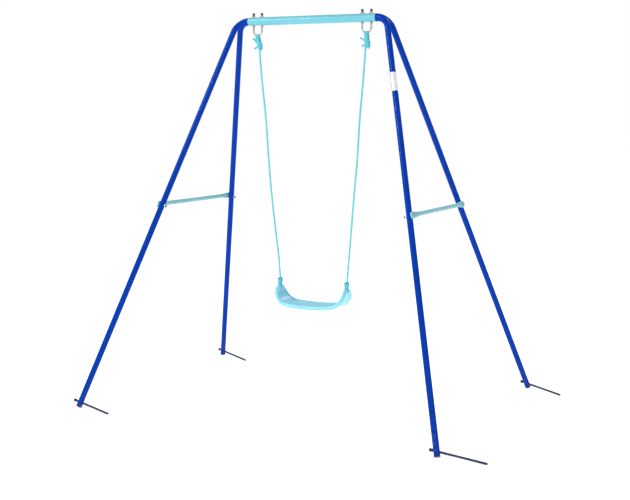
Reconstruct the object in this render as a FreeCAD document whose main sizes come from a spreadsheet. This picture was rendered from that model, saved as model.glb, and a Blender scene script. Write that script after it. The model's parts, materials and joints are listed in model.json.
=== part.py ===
import FreeCAD, Part
import math
import os
import re
import Sketcher
from FreeCAD import Placement, Rotation, Vector

# A single-seat garden swing set: four splayed tube legs, a crossbar, and one moulded seat on two ropes.
# Millimetres. +X runs along the crossbar, -Y is the front, +Z is up. The origin is on the ground under
# the middle of the crossbar.

doc = FreeCAD.newDocument("swing_set")
sheet = doc.addObject("Spreadsheet::Sheet", "sizes")

driving = [
    # overall
    ("bar_height", 1770), ("foot_half_width", 878), ("foot_half_depth", 638),
    # crossbar
    ("bar_length", 650), ("bar_diameter", 38), ("bar_wall", 1.5),
    # legs
    ("leg_diameter", 27), ("leg_wall", 1.5), ("leg_offset", 14), ("bend_radius", 70),
    ("insert_length", 56), ("insert_clearance", 0.3), ("partner_gap", 0.6), ("press_corner", 4),
    ("bend_start", 1), ("rod_notch_clearance", 0.5),
    ("joint_height", 920), ("spigot_length", 70), ("spigot_clearance", 0.1), ("swage_length", 8),
    # feet
    ("foot_cap_flange", 3), ("foot_plug_length", 8), ("foot_sole_depth", 1.5),
    # spreaders
    ("spreader_diameter", 19), ("spreader_wall", 1.2), ("pad_height", 30), ("pad_thickness", 9),
    ("pad_length", 26), ("flare_length", 60), ("saddle_depth", 3), ("saddle_clearance", 0.1),
    # spreader bolts
    ("bolt_diameter", 6), ("bolt_hole_clearance", 0.3), ("bolt_head_width", 10), ("bolt_head_height", 4),
    ("bolt_nut_height", 5), ("bolt_end_length", 4), ("bolt_cap_length", 7), ("bolt_cap_diameter", 9),
    ("thread_clearance", 0.05), ("cap_end_gap", 0.2), ("cap_edge", 1.5),
    # hangers
    ("hanger_centre", 279), ("hanger_half_width", 22), ("hanger_rod", 8), ("hanger_drop", 72),
    ("hanger_taper_drop", 50), ("hanger_bottom_half", 8), ("hanger_bend_radius", 8),
    ("rod_hole_clearance", 0.3), ("rod_stand", 17), ("washer_diameter", 18), ("washer_height", 3),
    ("hanger_nut_width", 13), ("hanger_nut_height", 6.5), ("rod_cap_diameter", 11), ("rod_cap_top", 2.5),
    # ropes
    ("rope_diameter", 10), ("rope_clearance", 0.4), ("knot_drop", 38), ("knot_half_width", 13),
    ("knot_half_height", 22), ("seat_knot_diameter", 25), ("seat_knot_rise", 20),
    ("rope_route_drop", 1106),
    # seat
    ("seat_shift", 9), ("seat_tip_x", 175), ("seat_bulge_x", 175.1), ("seat_tip_z", 534),
    ("seat_bottom_z", 435),
    ("seat_depth", 146), ("seat_thickness", 20), ("seat_curl_radius", 70),
    ("seat_hole_drop", 17), ("seat_web", 7), ("seat_shoulder_rise", 12), ("seat_curl_rise", 4),
    # ground pegs
    ("peg_diameter", 10), ("peg_shank_diameter", 10.6), ("peg_shank_length", 90), ("peg_free_length", 150),
    ("peg_point_length", 5), ("peg_hole_clearance", 0.6), ("peg_hole_height", 24), ("peg_cap_diameter", 14),
    ("peg_cap_length", 14), ("peg_cap_wall", 2), ("peg_step", 0.3), ("peg_tip_height", 5.4),
    # sticker
    ("label_height", 88), ("label_thickness", 0.3), ("label_gap", 0.05), ("label_centre_z", 1480),
    ("label_wrap_degrees", 160), ("label_start_degrees", -130),
]
for row, (alias, number) in enumerate(driving, start=1):
    sheet.set(f"A{row}", alias)
    sheet.set(f"B{row}", str(number))
    sheet.setAlias(f"B{row}", alias)
doc.recompute()

# tools that only have to reach right through a piece
through = 80
overshoot = 5
section_steps = 24
section_stations = 9


def size(formula):
    """The value of a formula on the sheet's own names, such as bar_length / 2."""
    return float(sheet.evalExpression(formula))


def bind(item, prop, formula):
    """Ties a property to a formula on the sheet; the names in it get the sheet's prefix."""
    item.setExpression(prop, re.sub(r"[a-z]\w*_\w+", lambda word: "sizes." + word.group(), formula))


def cylinder(name, radius, height, placement=Placement()):
    item = doc.addObject("Part::Cylinder", name)
    bind(item, "Radius", radius)
    bind(item, "Height", height)
    item.Placement = placement
    return item


def hexagon(name, width, height, placement=Placement()):
    item = doc.addObject("Part::Prism", name)
    item.Polygon = 6
    bind(item, "Circumradius", f"{width} / sqrt(3)")
    bind(item, "Height", height)
    item.Placement = placement
    return item


def cut(name, base, tool):
    item = doc.addObject("Part::Cut", name)
    item.Base = base
    item.Tool = tool
    return item


def fuse(name, items):
    item = doc.addObject("Part::MultiFuse", name)
    item.Shapes = items
    item.Refine = True
    return item


def group(name, items):
    """Identical fasteners: separate solids kept together as one sub-part."""
    item = doc.addObject("Part::Compound", name)
    item.Links = items
    return item


def feature(name, shape, placement=Placement()):
    item = doc.addObject("Part::Feature", name)
    item.Shape = shape
    item.Placement = placement
    return item


def frame_at(origin, x_axis, z_axis):
    """A placement whose Z is z_axis and whose X is as near x_axis as it can be."""
    return Placement(origin, Rotation(x_axis, z_axis.cross(x_axis), z_axis, "ZXY"))


def origin_plane(body, role):
    return next(item for item in body.Origin.OriginFeatures if item.Role == role)


def new_sketch(body, name, role, shift=0.0):
    sketch = body.newObject("Sketcher::SketchObject", name)
    sketch.AttachmentSupport = [(origin_plane(body, role), "")]
    sketch.MapMode = "FlatFace"
    sketch.AttachmentOffset = Placement(Vector(0, 0, shift), Rotation())
    return sketch


def draw_polygon(sketch, points):
    """A closed outline whose corners are (x, y) formulas on the sheet."""
    corners = [Vector(size(x), size(y), 0) for x, y in points]
    count = len(corners)
    for index in range(count):
        sketch.addGeometry(Part.LineSegment(corners[index], corners[(index + 1) % count]), False)
    for index in range(count):
        sketch.addConstraint(Sketcher.Constraint("Coincident", index, 2, (index + 1) % count, 1))
    for index, (x, y) in enumerate(points):
        for kind, formula in (("DistanceX", x), ("DistanceY", y)):
            number = sketch.addConstraint(Sketcher.Constraint(kind, -1, 1, index, 1, size(formula)))
            bind(sketch, f"Constraints[{number}]", formula)


def draw_circle(sketch, x, y, radius):
    circle = Part.Circle(Vector(size(x), size(y), 0), Vector(0, 0, 1), size(radius))
    index = sketch.addGeometry(circle, False)
    number = sketch.addConstraint(Sketcher.Constraint("Radius", index, size(radius)))
    bind(sketch, f"Constraints[{number}]", radius)
    for kind, formula in (("DistanceX", x), ("DistanceY", y)):
        number = sketch.addConstraint(Sketcher.Constraint(kind, -1, 1, index, 3, size(formula)))
        bind(sketch, f"Constraints[{number}]", formula)


def turned(name, points, placement):
    """A body turned about its own Z axis from a half outline of (radius, height) formulas."""
    body = doc.addObject("PartDesign::Body", name)
    sketch = new_sketch(body, name + "_profile", "XZ_Plane")
    draw_polygon(sketch, points)
    turn = body.newObject("PartDesign::Revolution", name + "_turn")
    turn.Profile = sketch
    turn.ReferenceAxis = (sketch, ["V_Axis"])
    turn.Angle = 360.0
    body.Placement = placement
    return body


def rounded_route(points, radii=None):
    """Edges of straight runs joined by tangent arcs, each arc as large as its two runs allow."""
    if radii is None:
        radii = []
        for before, corner, after in zip(points, points[1:], points[2:]):
            turn = (corner - before).getAngle(after - corner)
            run = min((corner - before).Length, (after - corner).Length)
            radii.append(0.45 * run / math.tan(turn / 2))
    edges = []
    start = points[0]
    for before, corner, after, radius in zip(points, points[1:], points[2:], radii):
        into = (corner - before).normalize()
        out = (after - corner).normalize()
        turn = into.getAngle(out)
        reach = radius * math.tan(turn / 2)
        first = corner - into * reach
        last = corner + out * reach
        bulge = (out - into).normalize()
        middle = corner + bulge * (radius / math.cos(turn / 2) - radius)
        edges.append(Part.LineSegment(start, first).toShape())
        edges.append(Part.Arc(first, middle, last).toShape())
        start = last
    edges.append(Part.LineSegment(start, points[-1]).toShape())
    return edges, radii


def tube_along(edges, radius):
    """A round solid along a chain of tangent edges."""
    path = Part.Wire(edges)
    start = path.Edges[0].Vertexes[0].Point
    ahead = path.Edges[0].tangentAt(path.Edges[0].FirstParameter)
    ring = Part.Wire([Part.Circle(start, ahead, radius).toShape()])
    return path.makePipeShell([ring], True, False)


# ---- where the legs run --------------------------------------------------------------------------------

sides = {"left": -1, "right": 1}
ends = {"front": -1, "rear": 1}
leg_radius = size("leg_diameter / 2")
half_bar = size("bar_length / 2")
depth_lean = math.atan2(size("foot_half_depth - leg_offset"), size("bar_height"))
slant_height = math.hypot(size("foot_half_depth - leg_offset"), size("bar_height"))
bend_start = size("bend_start")
bend_radius = size("bend_radius")
foot_reach = size("foot_half_width") - half_bar - bend_start
side_lean = math.atan2(foot_reach, slant_height - bend_radius)
side_lean -= math.asin(bend_radius / math.hypot(foot_reach, slant_height - bend_radius))
bend_turn = math.pi / 2 - side_lean


class LegLine:
    """The axis and the directions of one leg."""

    def __init__(self, side, end):
        self.side = sides[side]
        self.end = ends[end]
        self.name = f"{end}_{side}"
        self.out = Vector(self.side, 0, 0)
        self.down = Vector(0, self.end * math.sin(depth_lean), -math.cos(depth_lean))
        self.across = self.out.cross(self.down)
        self.top = Vector(self.side * half_bar, self.end * size("leg_offset"), size("bar_height"))
        self.along = self.out * math.sin(side_lean) + self.down * math.cos(side_lean)
        self.foot = Vector(self.side * size("foot_half_width"), self.end * size("foot_half_depth"), 0)
        self.lean = self.along.getAngle(Vector(0, 0, -1))
        self.normal = Vector(0, 1, 0).cross(self.along)
        if self.normal.x * self.side < 0:
            self.normal = -self.normal
        self.normal.normalize()

    def at_height(self, height):
        return self.foot - self.along * (height / math.cos(self.lean))


legs = [LegLine(side, end) for side in sides for end in ends]

# ---- crossbar ------------------------------------------------------------------------------------------

bar = doc.addObject("PartDesign::Body", "crossbar")
ring = new_sketch(bar, "crossbar_section", "YZ_Plane")
draw_circle(ring, "0", "0", "bar_diameter / 2")
draw_circle(ring, "0", "0", "bar_diameter / 2 - bar_wall")
bar_pad = bar.newObject("PartDesign::Pad", "crossbar_tube")
bar_pad.Profile = ring
bind(bar_pad, "Length", "bar_length")
bar_pad.SideType = "Symmetric"
doc.recompute()
tube_volume = bar_pad.Shape.Volume
holes = new_sketch(bar, "crossbar_rod_holes", "XY_Plane")
rod_places = [f"{a} hanger_centre {b} hanger_half_width" for a in ("-", "") for b in ("-", "+")]
for place in rod_places:
    draw_circle(holes, place.strip(), "0", "hanger_rod / 2 + rod_hole_clearance")
rod_holes = bar.newObject("PartDesign::Pocket", "crossbar_drilling")
rod_holes.Profile = holes
rod_holes.SideType = "Symmetric"
bind(rod_holes, "Length", "bar_diameter * 2")
doc.recompute()
if not rod_holes.Shape.Volume < tube_volume - 1:
    raise RuntimeError("the crossbar's holes cut nothing")
bar.Placement = Placement(Vector(0, 0, size("bar_height")), Rotation())

# ---- upper legs: straight tube, bend that is pressed to a half round, and the part inside the crossbar --


def press_section(share, radius, corner, flat, side_sign):
    """
    One tube section, as points round the tube: share 1 is the half round that shares the crossbar with
    its partner, 0 the round tube. The first axis points away from the partner, the second up the bend.
    """
    away = Vector(0, -math.sin(depth_lean), side_sign * math.cos(depth_lean))
    upward = Vector(0, math.cos(depth_lean), side_sign * math.sin(depth_lean))
    half_round = size("bar_diameter / 2 - bar_wall - insert_clearance") - (leg_radius - radius)
    offset = size("leg_offset")
    points = []
    for step in range(section_steps):
        angle = 2 * math.pi * step / section_steps
        round_away = radius * math.cos(angle)
        round_up = radius * math.sin(angle)
        reach = half_round * math.cos(angle)
        rise = half_round * math.sin(angle)
        soft = flat + corner * math.exp((reach - flat) / corner - 1) if reach < flat + corner else reach
        pressed_away = soft - offset
        blend_away = share * pressed_away + (1 - share) * round_away
        blend_up = share * rise + (1 - share) * round_up
        points.append(away * blend_away + upward * blend_up)
    return points


def bend_point(angle):
    return Vector(bend_start + bend_radius * math.sin(angle), -bend_radius * (1 - math.cos(angle)), 0)


def leg_solids(radius, corner, flat, side_sign, straight_length, insert_length):
    """The insert, bend and straight stretch inside one surface of an upper leg, outer or inner."""
    def section_wire(share, angle):
        turn_about = Rotation(Vector(0, 0, 1), -math.degrees(angle))
        section = press_section(share, radius, corner, flat, side_sign)
        points = [turn_about.multVec(point) for point in section]
        if share == 0:
            ring = Part.Circle(Vector(), turn_about.multVec(Vector(1, 0, 0)) * side_sign, radius)
            ring.XAxis = points[0]
            wire = Part.Wire(ring.toShape())
        else:
            curve = Part.BSplineCurve()
            curve.interpolate(Points=points, PeriodicFlag=True)
            wire = Part.Wire([curve.toShape()])
        wire.translate(bend_point(angle))
        return wire

    sections = []
    for number in range(section_stations):
        part_way = number / (section_stations - 1)
        share = 1 - part_way * part_way * (3 - 2 * part_way)
        sections.append(section_wire(share, bend_turn * part_way))
    bend = Part.makeLoft(sections, True, False)
    insert = Part.Face(section_wire(1.0, 0.0)).extrude(Vector(-insert_length - bend_start, 0, 0))
    direction = Vector(math.cos(bend_turn), -math.sin(bend_turn), 0)
    straight = Part.makeCylinder(radius, straight_length, bend_point(bend_turn), direction)
    return insert, bend, straight


for leg in legs:
    knee = bend_point(bend_turn)
    joint = leg.at_height(size("joint_height"))
    place = Placement(leg.top, Rotation(leg.out, -leg.down, leg.out.cross(-leg.down), "XYZ"))
    joint_here = place.inverse().multVec(joint)
    length = (joint_here - knee).Length + size("spigot_length / 2")
    # the section's second local axis is up, its third is across the side frame
    side_sign = -1 if leg.side * leg.end > 0 else 1
    wall = size("leg_wall")
    outer = leg_solids(leg_radius, size("press_corner"), size("partner_gap / 2"), side_sign, length,
                       size("insert_length"))
    inner = leg_solids(leg_radius - wall, size("press_corner") - wall, size("partner_gap / 2") + wall,
                       side_sign, length + overshoot, size("insert_length") + overshoot)
    insert_tube, bend_tube, straight_tube = [skin.cut(bore) for skin, bore in zip(outer, inner)]
    rod_here = place.inverse().multVec(Vector(leg.side * size("hanger_centre + hanger_half_width"), 0, 0))
    up_here = place.inverse().Rotation.multVec(Vector(0, 0, 1))
    notch = Part.makeCylinder(size("hanger_rod / 2 + rod_notch_clearance"), size("bar_height") * 2,
                              rod_here, up_here)
    bolt_here = place.inverse().Rotation.multVec(leg.normal)
    bolt_hole = Part.makeCylinder(size("bolt_diameter / 2 + bolt_hole_clearance"), through,
                                  joint_here - bolt_here * through / 2, bolt_here)
    walls = insert_tube.cut(notch).fuse([bend_tube, straight_tube.cut(bolt_hole)])
    feature(f"upper_leg_{leg.name}", walls, place)

# ---- lower legs, foot caps and ground pegs --------------------------------------------------------------

peg_turns = {"front_left": -15, "rear_left": -23, "front_right": -3, "rear_right": -24}
peg_heads = {"front_left": 16, "rear_left": 9, "front_right": 2, "rear_right": 7}

for leg in legs:
    joint = leg.at_height(size("joint_height"))
    leg_place = frame_at(joint, leg.normal, -leg.along)
    to_ground = (leg.foot - joint).Length
    cap_rise = (leg_radius * math.sin(leg.lean) - size("foot_sole_depth")) / math.cos(leg.lean)
    tube_end = -(to_ground - cap_rise - size("foot_cap_flange"))

    lower = turned(f"lower_leg_{leg.name}_tube", [
        ("leg_diameter / 2 - leg_wall", str(tube_end)),
        ("leg_diameter / 2", str(tube_end)),
        ("leg_diameter / 2", "-spigot_length / 2"),
        ("leg_diameter / 2 - leg_wall - spigot_clearance", "-spigot_length / 2"),
        ("leg_diameter / 2 - leg_wall - spigot_clearance", "spigot_length / 2"),
        ("leg_diameter / 2 - 2 * leg_wall - spigot_clearance", "spigot_length / 2"),
        ("leg_diameter / 2 - 2 * leg_wall - spigot_clearance", "-spigot_length / 2 - swage_length"),
        ("leg_diameter / 2 - leg_wall", "-spigot_length / 2 - 2 * swage_length"),
    ], leg_place)

    # the peg crosses the leg's axis a little above the foot and slopes down to the ground
    crossing = leg.at_height(size("peg_hole_height"))
    head_reach = leg_radius + peg_heads[leg.name] + size("peg_cap_length")
    peg_length = size("peg_shank_length + peg_free_length + peg_point_length")
    tip_reach = peg_length - head_reach
    drop = size("peg_hole_height - peg_tip_height")
    slope = math.asin(drop / (tip_reach - size("peg_point_length")))
    heading = math.radians(peg_turns[leg.name])
    peg_axis = Vector(math.cos(slope) * math.cos(heading), math.cos(slope) * math.sin(heading),
                      -math.sin(slope))
    peg_place = frame_at(crossing - peg_axis * head_reach, Vector(0, 1, 0), peg_axis)

    bolt_drill = cylinder(f"bolt_drill_{leg.name}", "bolt_diameter / 2 + bolt_hole_clearance",
                          str(through),
                          frame_at(joint - leg.normal * through / 2, Vector(0, 1, 0), leg.normal))
    peg_drill = cylinder(f"peg_drill_{leg.name}", "peg_shank_diameter / 2 + peg_hole_clearance",
                         str(through),
                         frame_at(crossing - peg_axis * through / 2, Vector(0, 1, 0), peg_axis))
    drills = fuse(f"drills_{leg.name}", [bolt_drill, peg_drill])
    cut(f"lower_leg_{leg.name}", lower, drills)

    cap = turned(f"foot_cap_{leg.name}_turned", [
        ("0", str(tube_end - size("foot_cap_flange"))),
        ("leg_diameter / 2", str(tube_end - size("foot_cap_flange"))),
        ("leg_diameter / 2", str(tube_end)),
        ("leg_diameter / 2 - leg_wall - spigot_clearance", str(tube_end)),
        ("leg_diameter / 2 - leg_wall - spigot_clearance", str(tube_end + size("foot_plug_length"))),
        ("leg_diameter / 2 - 3 * leg_wall", str(tube_end + size("foot_plug_length"))),
        ("leg_diameter / 2 - 3 * leg_wall", str(tube_end)),
        ("0", str(tube_end)),
    ], leg_place)
    ground = doc.addObject("Part::Box", f"ground_{leg.name}")
    ground.Length = ground.Width = ground.Height = through
    ground.Placement = Placement(leg.foot + Vector(-through / 2, -through / 2, -through), Rotation())
    cut(f"foot_cap_{leg.name}", cap, ground)

    turned(f"peg_{leg.name}", [
        ("0", "0"),
        ("peg_shank_diameter / 2", "0"),
        ("peg_shank_diameter / 2", "peg_shank_length"),
        ("peg_diameter / 2", "peg_shank_length + peg_step"),
        ("peg_diameter / 2", "peg_shank_length + peg_free_length"),
        ("peg_diameter / 3", "peg_shank_length + peg_free_length + peg_point_length"),
        ("0", "peg_shank_length + peg_free_length + peg_point_length"),
    ], peg_place)
    turned(f"peg_cap_{leg.name}", [
        ("0", "-peg_cap_wall"),
        ("peg_cap_diameter / 2 - cap_edge", "-peg_cap_wall"),
        ("peg_cap_diameter / 2", "-peg_cap_wall + cap_edge"),
        ("peg_cap_diameter / 2", "peg_cap_length - peg_cap_wall"),
        ("peg_shank_diameter / 2 + thread_clearance", "peg_cap_length - peg_cap_wall"),
        ("peg_shank_diameter / 2 + thread_clearance", "0"),
        ("0", "0"),
    ], peg_place)

# ---- spreaders: round tubes whose ends are pressed flat and hug the legs ---------------------------------


def ellipse(name, height, thickness, placement):
    item = doc.addObject("Part::Ellipse", name)
    bind(item, "MajorRadius", f"{height} / 2")
    bind(item, "MinorRadius", f"{thickness} / 2")
    item.Placement = placement
    return item


bolts = []
nuts = []
nut_caps = []
for side in sides:
    pair = [leg for leg in legs if leg.side == sides[side]]
    front = pair[0]
    pad_middle = abs(front.at_height(size("joint_height")).y)
    middle = front.at_height(size("joint_height"))
    middle.y = 0
    pad_offset = leg_radius + size("pad_thickness / 2 - saddle_depth")
    centre = middle + front.normal * pad_offset
    upward = front.normal.cross(Vector(0, 1, 0)) * -1
    if upward.z < 0:
        upward = -upward
    flat_start = pad_middle - size("pad_length / 2")
    flare_start = flat_start - size("flare_length")
    shapes = []
    tube = cylinder(f"spreader_{side}_tube", "spreader_diameter / 2", str(2 * flare_start),
                    frame_at(centre - Vector(0, flare_start, 0), upward, Vector(0, 1, 0)))
    shapes.append(tube)
    for end in ends:
        toward = Vector(0, ends[end], 0)
        tube_ring = ellipse(f"spreader_{side}_{end}_ring", "spreader_diameter", "spreader_diameter",
                            frame_at(centre + toward * flare_start, upward, toward))
        pad_ring = ellipse(f"spreader_{side}_{end}_flat", "pad_height", "pad_thickness",
                           frame_at(centre + toward * flat_start, upward, toward))
        flare = doc.addObject("Part::Loft", f"spreader_{side}_{end}_flare")
        flare.Sections = [tube_ring, pad_ring]
        flare.Solid = True
        pad_end = doc.addObject("Part::Extrusion", f"spreader_{side}_{end}_pad")
        pad_end.Base = pad_ring
        pad_end.DirMode = "Custom"
        pad_end.Dir = toward
        bind(pad_end, "LengthFwd", "pad_length")
        pad_end.Solid = True
        shapes += [flare, pad_end]
    blank = fuse(f"spreader_{side}_blank", shapes)
    bore = cylinder(f"spreader_{side}_bore", "spreader_diameter / 2 - spreader_wall",
                    str(2 * flare_start),
                    frame_at(centre - Vector(0, flare_start, 0), upward, Vector(0, 1, 0)))
    cutters = [bore]
    for leg in pair:
        joint = leg.at_height(size("joint_height"))
        cutters.append(cylinder(f"saddle_{leg.name}", "leg_diameter / 2 + saddle_clearance",
                                str(2 * through),
                                frame_at(joint + leg.along * through, leg.normal, -leg.along)))
        cutters.append(cylinder(f"spreader_drill_{leg.name}", "bolt_diameter / 2 + bolt_hole_clearance",
                                str(through),
                                frame_at(joint - leg.normal * through / 2, Vector(0, 1, 0), leg.normal)))
        # the bolt goes in from outside; its nut and cap are inside
        pad_face = leg_radius - size("saddle_depth") + size("pad_thickness")
        head = frame_at(joint + leg.normal * pad_face, Vector(0, 1, 0), leg.normal)
        inside = frame_at(joint - leg.normal * leg_radius, Vector(0, 1, 0), -leg.normal)
        grip = pad_face + leg_radius + size("bolt_nut_height + bolt_end_length")
        shank = cylinder(f"bolt_shank_{leg.name}", "bolt_diameter / 2", str(grip),
                         frame_at(joint + leg.normal * pad_face, Vector(0, 1, 0), -leg.normal))
        bolt_head = hexagon(f"bolt_head_{leg.name}", "bolt_head_width", "bolt_head_height", head)
        bolts.append(fuse(f"bolt_{leg.name}", [shank, bolt_head]))
        nut_blank = hexagon(f"nut_blank_{leg.name}", "bolt_head_width", "bolt_nut_height", inside)
        nut_bore = cylinder(f"nut_bore_{leg.name}", "bolt_diameter / 2 + thread_clearance",
                            "bolt_nut_height", inside)
        nuts.append(cut(f"nut_{leg.name}", nut_blank, nut_bore))
        beyond = Placement(inside.Base - leg.normal * size("bolt_nut_height"), inside.Rotation)
        nut_caps.append(turned(f"nut_cap_{leg.name}", [
            ("bolt_diameter / 2 + thread_clearance", "0"),
            ("bolt_cap_diameter / 2", "0"),
            ("bolt_cap_diameter / 2", "bolt_cap_length - cap_edge"),
            ("bolt_cap_diameter / 2 - cap_edge", "bolt_cap_length"),
            ("0", "bolt_cap_length"),
            ("0", "bolt_end_length + cap_end_gap"),
            ("bolt_diameter / 2 + thread_clearance", "bolt_end_length + cap_end_gap"),
        ], beyond))
    cut(f"spreader_{side}", blank, fuse(f"spreader_{side}_cutters", cutters))
group("spreader_bolts", bolts)
group("spreader_nuts", nuts)
group("spreader_nut_caps", nut_caps)

# ---- hangers: bent rods through the crossbar, with washers, nuts and caps --------------------------------

bar_top = size("bar_height + bar_diameter / 2")
bar_bottom = size("bar_height - bar_diameter / 2")
hinge_height = size("bar_height - hanger_drop")
washers = []
top_nuts = []
under_nuts = []
rod_caps = []
for side in sides:
    middle_x = sides[side] * size("hanger_centre")
    half = size("hanger_half_width")
    low_half = size("hanger_bottom_half")
    taper_height = size("bar_height - hanger_taper_drop")
    rod_top = bar_top + size("rod_stand")
    corners = [Vector(-half, 0, rod_top), Vector(-half, 0, taper_height), Vector(-low_half, 0, hinge_height),
               Vector(low_half, 0, hinge_height), Vector(half, 0, taper_height), Vector(half, 0, rod_top)]
    tight = size("hanger_bend_radius")
    edges, bend_radii = rounded_route(corners, [2 * tight, tight, tight, 2 * tight])
    feature(f"hanger_{side}", tube_along(edges, size("hanger_rod / 2")),
            Placement(Vector(middle_x, 0, 0), Rotation()))
    for rod in (-1, 1):
        tag = f"{side}_{'inner' if rod * sides[side] < 0 else 'outer'}"
        x = middle_x + rod * half
        above = Placement(Vector(x, 0, bar_top), Rotation())
        washer_blank = cylinder(f"washer_blank_{tag}", "washer_diameter / 2", f"washer_height + {overshoot}",
                                Placement(Vector(x, 0, bar_top - overshoot), Rotation()))
        washer_cut = fuse(f"washer_cut_{tag}", [
            cylinder(f"washer_bore_{tag}", "hanger_rod / 2 + rod_hole_clearance", str(through),
                     Placement(Vector(x, 0, bar_top - through / 2), Rotation())),
            cylinder(f"washer_saddle_{tag}", "bar_diameter / 2 + thread_clearance", str(through),
                     Placement(Vector(x - through / 2, 0, size("bar_height")),
                               Rotation(Vector(0, 1, 0), 90))),
        ])
        washers.append(cut(f"washer_{tag}", washer_blank, washer_cut))
        nut_place = Placement(Vector(x, 0, bar_top + size("washer_height")), Rotation())
        top_nuts.append(cut(
            f"top_nut_{tag}",
            hexagon(f"top_nut_blank_{tag}", "hanger_nut_width", "hanger_nut_height", nut_place),
            cylinder(f"top_nut_bore_{tag}", "hanger_rod / 2 + thread_clearance", "hanger_nut_height",
                     nut_place)))
        under_place = Placement(Vector(x, 0, bar_bottom - size("hanger_nut_height + thread_clearance")),
                                Rotation())
        under_nuts.append(cut(
            f"under_nut_{tag}",
            hexagon(f"under_nut_blank_{tag}", "hanger_nut_width", "hanger_nut_height", under_place),
            cylinder(f"under_nut_bore_{tag}", "hanger_rod / 2 + thread_clearance", "hanger_nut_height",
                     under_place)))
        cap_place = Placement(nut_place.Base + Vector(0, 0, size("hanger_nut_height")), Rotation())
        stub = "rod_stand - washer_height - hanger_nut_height"
        rod_caps.append(turned(f"rod_cap_{tag}", [
            ("hanger_rod / 2 + thread_clearance", "0"),
            ("rod_cap_diameter / 2", "0"),
            ("rod_cap_diameter / 2", f"{stub} + rod_cap_top - cap_edge"),
            ("rod_cap_diameter / 2 - cap_edge", f"{stub} + rod_cap_top"),
            ("0", f"{stub} + rod_cap_top"),
            ("0", f"{stub} + cap_end_gap"),
            ("hanger_rod / 2 + thread_clearance", f"{stub} + cap_end_gap"),
        ], cap_place))
group("hanger_washers", washers)
group("hanger_top_nuts", top_nuts)
group("hanger_under_nuts", under_nuts)
group("hanger_rod_caps", rod_caps)

# ---- ropes ----------------------------------------------------------------------------------------------

rope_radius = size("rope_diameter / 2")
tip_x = size("seat_tip_x")
seat_shift = size("seat_shift")
seat_knot_z = size("seat_tip_z + seat_knot_rise")
knot_z = hinge_height - size("knot_drop")
# routes: x, y and the drop below the upper knot, for a rope that falls rope_route_drop in all
rope_points = {
    "left": [(-272, 0, 10), (-262, 0, 150), (-238, 0, 340), (-228, 0, 510), (-211, 0, 700),
             (-186, 0, 900), (-169, 0, 1030)],
    "right": [(274, 0, 10), (264, 0, 160), (245, 0, 340), (236, 0, 520), (218, 0, 700),
              (204, 0, 880)],
}
rope_stretch = (knot_z - seat_knot_z) / size("rope_route_drop")
knot_shift = {"left": 9, "right": 3}
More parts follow.
